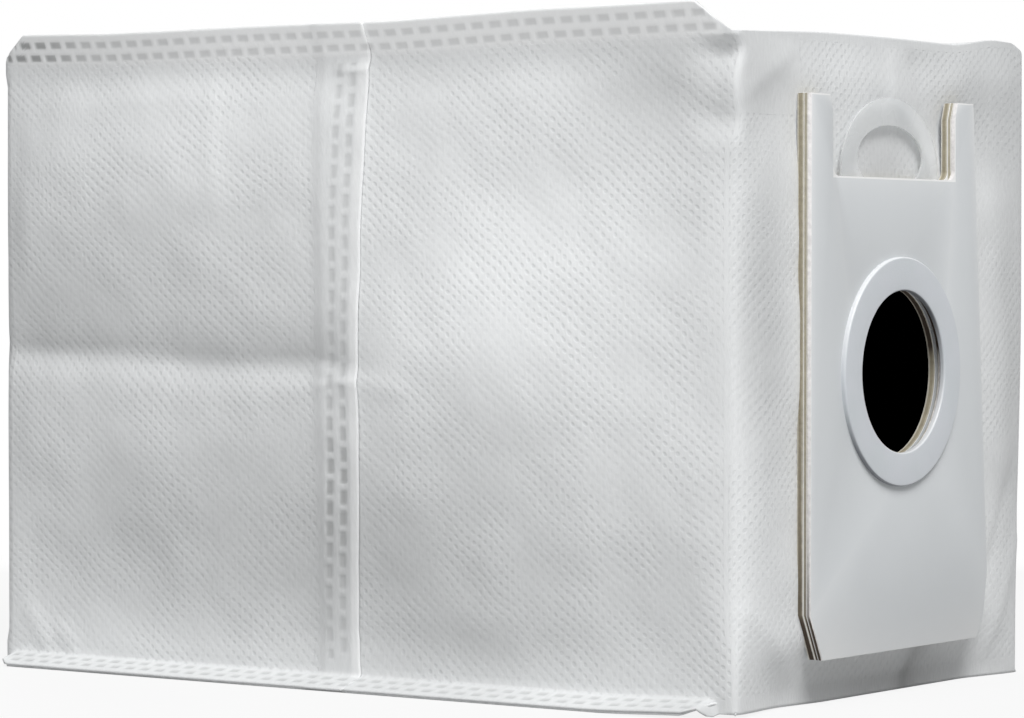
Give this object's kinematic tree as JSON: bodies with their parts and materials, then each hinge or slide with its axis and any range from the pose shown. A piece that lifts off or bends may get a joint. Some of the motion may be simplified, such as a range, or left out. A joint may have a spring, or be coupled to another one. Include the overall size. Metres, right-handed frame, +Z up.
{
  "type": "vacuum dust bag",
  "caption": "Box-shaped welded cloth dust bag with a notched cardboard mounting card, a round inlet with a seal ring, and a pull shutter that slides in the card to close the inlet.",
  "frame": {"origin": "centre of the footprint, on the surface that the bag stands on", "axes": "+Z up; +X towards the end with the mounting card and the inlet; the face with the lap seam looks along -Y"},
  "size_m": [0.1924, 0.125, 0.1371],
  "materials": {
    "cloth": "white point-bonded nonwoven cloth, matt",
    "card": "pale grey lined greyboard, smooth matt face",
    "card_core": "bare greyboard, tan cut edge",
    "shutter_plastic": "translucent milky sheet plastic, satin",
    "seal": "off-white soft foam rubber, smooth"
  },
  "bodies": {
    "bag": {"wall_sheet": "cloth", "top_panel": "cloth", "bottom_panel": "cloth", "back_board": "card", "spacer_frame": "card_core", "front_board": "card", "inlet_gasket": "seal"},
    "shutter": {"closure_slide": "shutter_plastic"}
  },
  "joints": [
    {"name": "shutter_slide", "type": "slide", "parent": "bag", "child": "shutter", "axis": [0, 0, 1], "range_m": [0, 0.035]}
  ]
}
